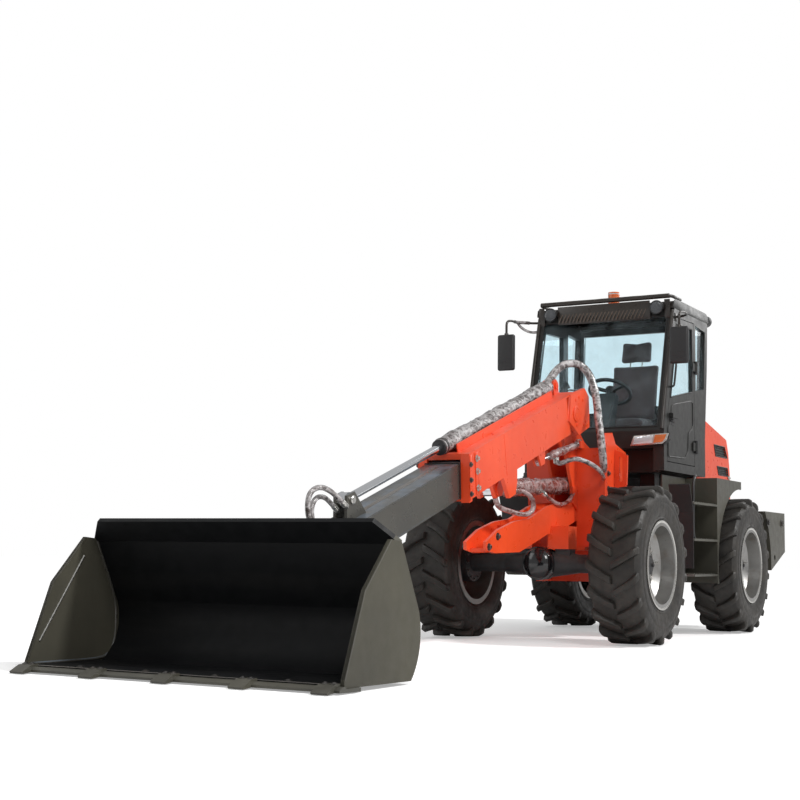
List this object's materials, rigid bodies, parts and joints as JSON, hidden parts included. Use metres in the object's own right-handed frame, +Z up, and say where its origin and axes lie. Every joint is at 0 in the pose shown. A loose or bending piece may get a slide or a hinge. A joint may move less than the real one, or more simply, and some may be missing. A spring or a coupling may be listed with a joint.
{
  "type": "articulated telescopic wheel loader",
  "caption": "Pivot-steered wheel loader with a two-stage telescopic boom, wide toothed earth bucket, glazed cab with a side door and a hinged engine hood.",
  "frame": {"origin": "on the ground under the middle of the machine's length, on its centre plane", "axes": "+Z up, -Y forward (the bucket), +X to the machine's left"},
  "size_m": [1.992, 8.209, 2.9445],
  "materials": {
    "orange_paint": "gloss paint",
    "olive_paint": "satin paint",
    "black_paint": "satin paint",
    "engine_grey": "cast",
    "black_plastic": "matte",
    "seat_fabric": "woven",
    "glass": "clear",
    "lamp_glass": "clear lens",
    "beacon_amber": "gloss",
    "wrapped_steel": "painted",
    "chrome_rod": "polished",
    "tyre_rubber": "rubber",
    "rim_silver": "satin paint"
  },
  "bodies": {
    "rear_body": {"rear_frame": "black_paint", "engine": "engine_grey", "counterweight": "olive_paint", "rear_axle": "black_paint", "cab_tub": "black_paint", "cab_frame": "black_paint", "cab_roof": "black_paint", "cab_glass": "glass", "door_hinges": "black_paint", "operator_seat": "seat_fabric", "controls": "black_plastic", "lamps": "lamp_glass", "mirrors": "black_plastic", "roof_bar": "black_paint", "beacon": "beacon_amber", "left_steps": "olive_paint", "right_tank": "olive_paint", "mudguards": "black_plastic"},
    "door_body": {"cab_door": "black_paint", "door_glass": "glass"},
    "hood_body": {"engine_hood": "orange_paint", "hood_grilles": "black_plastic"},
    "front_body": {"front_frame": "orange_paint", "front_axle": "black_paint"},
    "boom_body": {"outer_boom": "orange_paint", "extension_barrel": "wrapped_steel"},
    "inner_boom_body": {"inner_boom": "olive_paint", "extension_rod": "chrome_rod"},
    "bucket_body": {"bucket": "olive_paint", "bucket_teeth": "olive_paint", "quick_coupler": "olive_paint"},
    "lift_barrel_body": {"lift_barrel": "wrapped_steel"},
    "lift_rod_body": {"lift_rod": "chrome_rod"},
    "levelling_barrel_body": {"levelling_barrel": "wrapped_steel"},
    "levelling_rod_body": {"levelling_rod": "chrome_rod"},
    "tilt_barrel_body": {"tilt_barrel": "wrapped_steel"},
    "tilt_rod_body": {"tilt_rod": "chrome_rod"},
    "steering_left_barrel_body": {"steering_left_barrel": "wrapped_steel"},
    "steering_left_rod_body": {"steering_left_rod": "chrome_rod"},
    "steering_right_barrel_body": {"steering_right_barrel": "wrapped_steel"},
    "steering_right_rod_body": {"steering_right_rod": "chrome_rod"},
    "wheel_front_left": {"tyre_front_left": "tyre_rubber", "rim_front_left": "rim_silver"},
    "wheel_front_right": {"tyre_front_right": "tyre_rubber", "rim_front_right": "rim_silver"},
    "wheel_rear_left": {"tyre_rear_left": "tyre_rubber", "rim_rear_left": "rim_silver"},
    "wheel_rear_right": {"tyre_rear_right": "tyre_rubber", "rim_rear_right": "rim_silver"}
  },
  "joints": [
    {"name": "articulation", "type": "hinge", "parent": "rear_body", "child": "front_body", "pos_m": [0, 1.725, 0.71], "axis": [0, 0, 1], "range_deg": [-33, 33]},
    {"name": "wheel_front_left_spin", "type": "hinge", "parent": "front_body", "child": "wheel_front_left", "pos_m": [0.757, 0.54, 0.5875], "axis": [1, 0, 0], "continuous": true},
    {"name": "wheel_front_right_spin", "type": "hinge", "parent": "front_body", "child": "wheel_front_right", "pos_m": [-0.757, 0.54, 0.5875], "axis": [1, 0, 0], "continuous": true},
    {"name": "wheel_rear_left_spin", "type": "hinge", "parent": "rear_body", "child": "wheel_rear_left", "pos_m": [0.757, 2.91, 0.5875], "axis": [1, 0, 0], "continuous": true},
    {"name": "wheel_rear_right_spin", "type": "hinge", "parent": "rear_body", "child": "wheel_rear_right", "pos_m": [-0.757, 2.91, 0.5875], "axis": [1, 0, 0], "continuous": true},
    {"name": "boom_lift", "type": "hinge", "parent": "front_body", "child": "boom_body", "pos_m": [0, 0.71, 1.748], "axis": [-1, 0, 0], "range_deg": [0, 58]},
    {"name": "boom_extend", "type": "slide", "parent": "boom_body", "child": "inner_boom_body", "axis": [0, -0.9487, -0.3161], "range_m": [-0.95, 0.25]},
    {"name": "bucket_tilt", "type": "hinge", "parent": "inner_boom_body", "child": "bucket_body", "pos_m": [0, -3.145, 0.3], "axis": [-1, 0, 0], "range_deg": [-45, 38]},
    {"name": "cab_door_swing", "type": "hinge", "parent": "rear_body", "child": "door_body", "pos_m": [0.634, 2.35, 1.9], "axis": [0, 0, 1], "range_deg": [0, 80]},
    {"name": "hood_lift", "type": "hinge", "parent": "rear_body", "child": "hood_body", "pos_m": [0, 2.775, 1.901], "axis": [1, 0, 0], "range_deg": [0, 50]},
    {"name": "lift_swing", "type": "hinge", "parent": "front_body", "child": "lift_barrel_body", "pos_m": [0, 1.177, 1.228], "axis": [-1, 0, 0], "range_deg": [-0.5, 40.46]},
    {"name": "lift_stroke", "type": "slide", "parent": "lift_barrel_body", "child": "lift_rod_body", "axis": [0, -0.9975, -0.0706], "range_m": [-0.002, 0.404]},
    {"name": "levelling_swing", "type": "hinge", "parent": "front_body", "child": "levelling_barrel_body", "pos_m": [0.125, 0.934, 1.531], "axis": [-1, 0, 0], "range_deg": [-0.5, 43.15]},
    {"name": "levelling_stroke", "type": "slide", "parent": "levelling_barrel_body", "child": "levelling_rod_body", "axis": [0, -0.9735, -0.2286], "range_m": [-0.002, 0.1982]},
    {"name": "tilt_swing", "type": "hinge", "parent": "inner_boom_body", "child": "tilt_barrel_body", "pos_m": [0, -2.36066, 0.68258], "axis": [-1, 0, 0], "range_deg": [-1.06, 1.17]},
    {"name": "tilt_stroke", "type": "slide", "parent": "tilt_barrel_body", "child": "tilt_rod_body", "axis": [0, -0.9774, -0.2114], "range_m": [-0.1278, 0.151]},
    {"name": "steering_left_swing", "type": "hinge", "parent": "rear_body", "child": "steering_left_barrel_body", "pos_m": [0.165, 2.195, 0.56], "axis": [0, 0, 1], "range_deg": [-10.32, 10.32]},
    {"name": "steering_left_stroke", "type": "slide", "parent": "steering_left_barrel_body", "child": "steering_left_rod_body", "axis": [0.1096, -0.994, 0], "range_m": [-0.1249, 0.1249]},
    {"name": "steering_right_swing", "type": "hinge", "parent": "rear_body", "child": "steering_right_barrel_body", "pos_m": [-0.165, 2.195, 0.56], "axis": [0, 0, 1], "range_deg": [-10.32, 10.32]},
    {"name": "steering_right_stroke", "type": "slide", "parent": "steering_right_barrel_body", "child": "steering_right_rod_body", "axis": [-0.1096, -0.994, 0], "range_m": [-0.1249, 0.1249]}
  ],
  "couplings": [
    {"joint": "lift_swing", "follows": "boom_lift", "ratio": 0.689},
    {"joint": "lift_stroke", "follows": "boom_lift", "m_per_rad": 0.3971},
    {"joint": "levelling_swing", "follows": "boom_lift", "ratio": 0.7353},
    {"joint": "levelling_stroke", "follows": "boom_lift", "m_per_rad": 0.1938},
    {"joint": "tilt_swing", "follows": "bucket_tilt", "ratio": -0.0148},
    {"joint": "tilt_stroke", "follows": "bucket_tilt", "m_per_rad": -0.1897},
    {"joint": "steering_left_swing", "follows": "articulation", "ratio": 0.2977},
    {"joint": "steering_left_stroke", "follows": "articulation", "m_per_rad": -0.2133},
    {"joint": "steering_right_swing", "follows": "articulation", "ratio": 0.2977},
    {"joint": "steering_right_stroke", "follows": "articulation", "m_per_rad": 0.2133}
  ]
}
